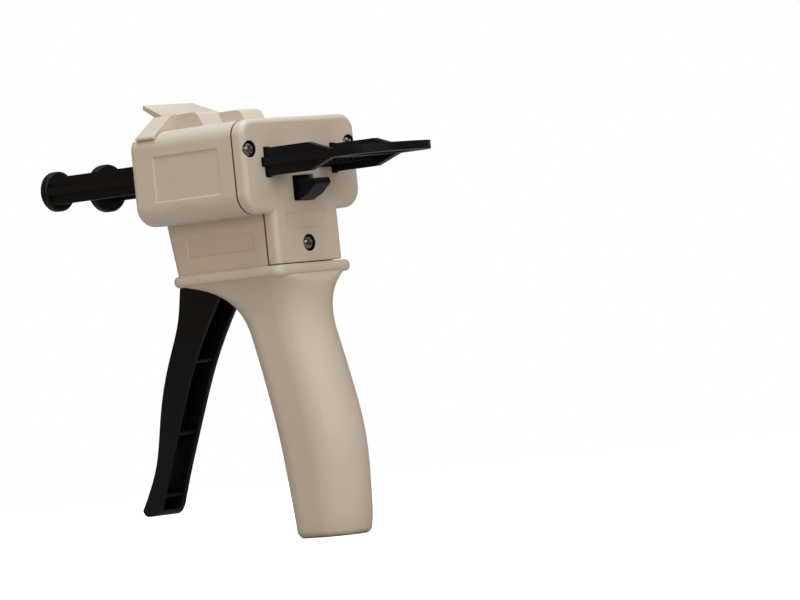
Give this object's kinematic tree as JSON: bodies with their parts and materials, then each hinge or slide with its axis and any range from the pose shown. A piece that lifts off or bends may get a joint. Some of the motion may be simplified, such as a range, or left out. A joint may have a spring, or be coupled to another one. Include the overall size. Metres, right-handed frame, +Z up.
{
  "type": "dental dispensing gun",
  "caption": "Hand-squeezed dispensing gun for two-component dental cartridges: trigger, twin toothed racks with piston discs, release lever and cartridge lock lever.",
  "frame": {"origin": "centre of the flat handle base", "axes": "+Z up along the handle, +X from the piston discs towards the pull yoke (rear), +Y to the gun's right side"},
  "size_m": [0.1845, 0.062, 0.174],
  "materials": {
    "cream_plastic": "fine matte",
    "black_plastic": "satin",
    "steel": "satin"
  },
  "bodies": {
    "frame": {"housing": "cream_plastic", "rear_cover": "cream_plastic", "cover_screws": "steel", "rack_guide": "black_plastic", "rack_brake_springs": "steel", "trigger_pin": "steel", "trigger_return_spring": "steel", "release_lever_pin": "steel", "release_lever_spring": "steel", "lock_lever_pin": "steel", "lock_lever_detent": "steel"},
    "plunger": {"plunger_racks": "black_plastic", "left_piston_disc": "black_plastic", "right_piston_disc": "black_plastic"},
    "trigger": {"trigger": "black_plastic", "feed_pawl_pin": "steel", "feed_pawl_spring": "steel"},
    "feed_pawl": {"feed_pawl": "black_plastic"},
    "release_lever": {"release_lever": "black_plastic"},
    "lock_lever": {"cartridge_lock_lever": "cream_plastic"}
  },
  "joints": [
    {"name": "rack_slide", "type": "slide", "parent": "frame", "child": "plunger", "axis": [-1, 0, 0], "range_m": [-0.07, 0.027]},
    {"name": "trigger_pull", "type": "hinge", "parent": "frame", "child": "trigger", "pos_m": [-0.0415, 0, 0.118], "axis": [0, -1, 0], "range_deg": [0, 30], "stiffness_Nm_per_rad": 0.25, "springref_deg": -17.19, "deforming": ["trigger_return_spring"]},
    {"name": "pawl_tilt", "type": "hinge", "parent": "trigger", "child": "feed_pawl", "pos_m": [-0.0275, 0, 0.1335], "axis": [0, -1, 0], "range_deg": [0, 24], "deforming": ["feed_pawl_spring"]},
    {"name": "release_push", "type": "hinge", "parent": "frame", "child": "release_lever", "pos_m": [-0.0085, 0, 0.1338], "axis": [0, -1, 0], "range_deg": [0, 6.5], "stiffness_Nm_per_rad": 0.05, "springref_deg": -5.73, "deforming": ["release_lever_spring"]},
    {"name": "lock_flip", "type": "hinge", "parent": "frame", "child": "lock_lever", "pos_m": [-0.0341, 0, 0.1588], "axis": [0, 1, 0], "range_deg": [0, 60]}
  ],
  "couplings": [
    {"joint": "pawl_tilt", "follows": "release_push", "ratio": 3.6}
  ]
}
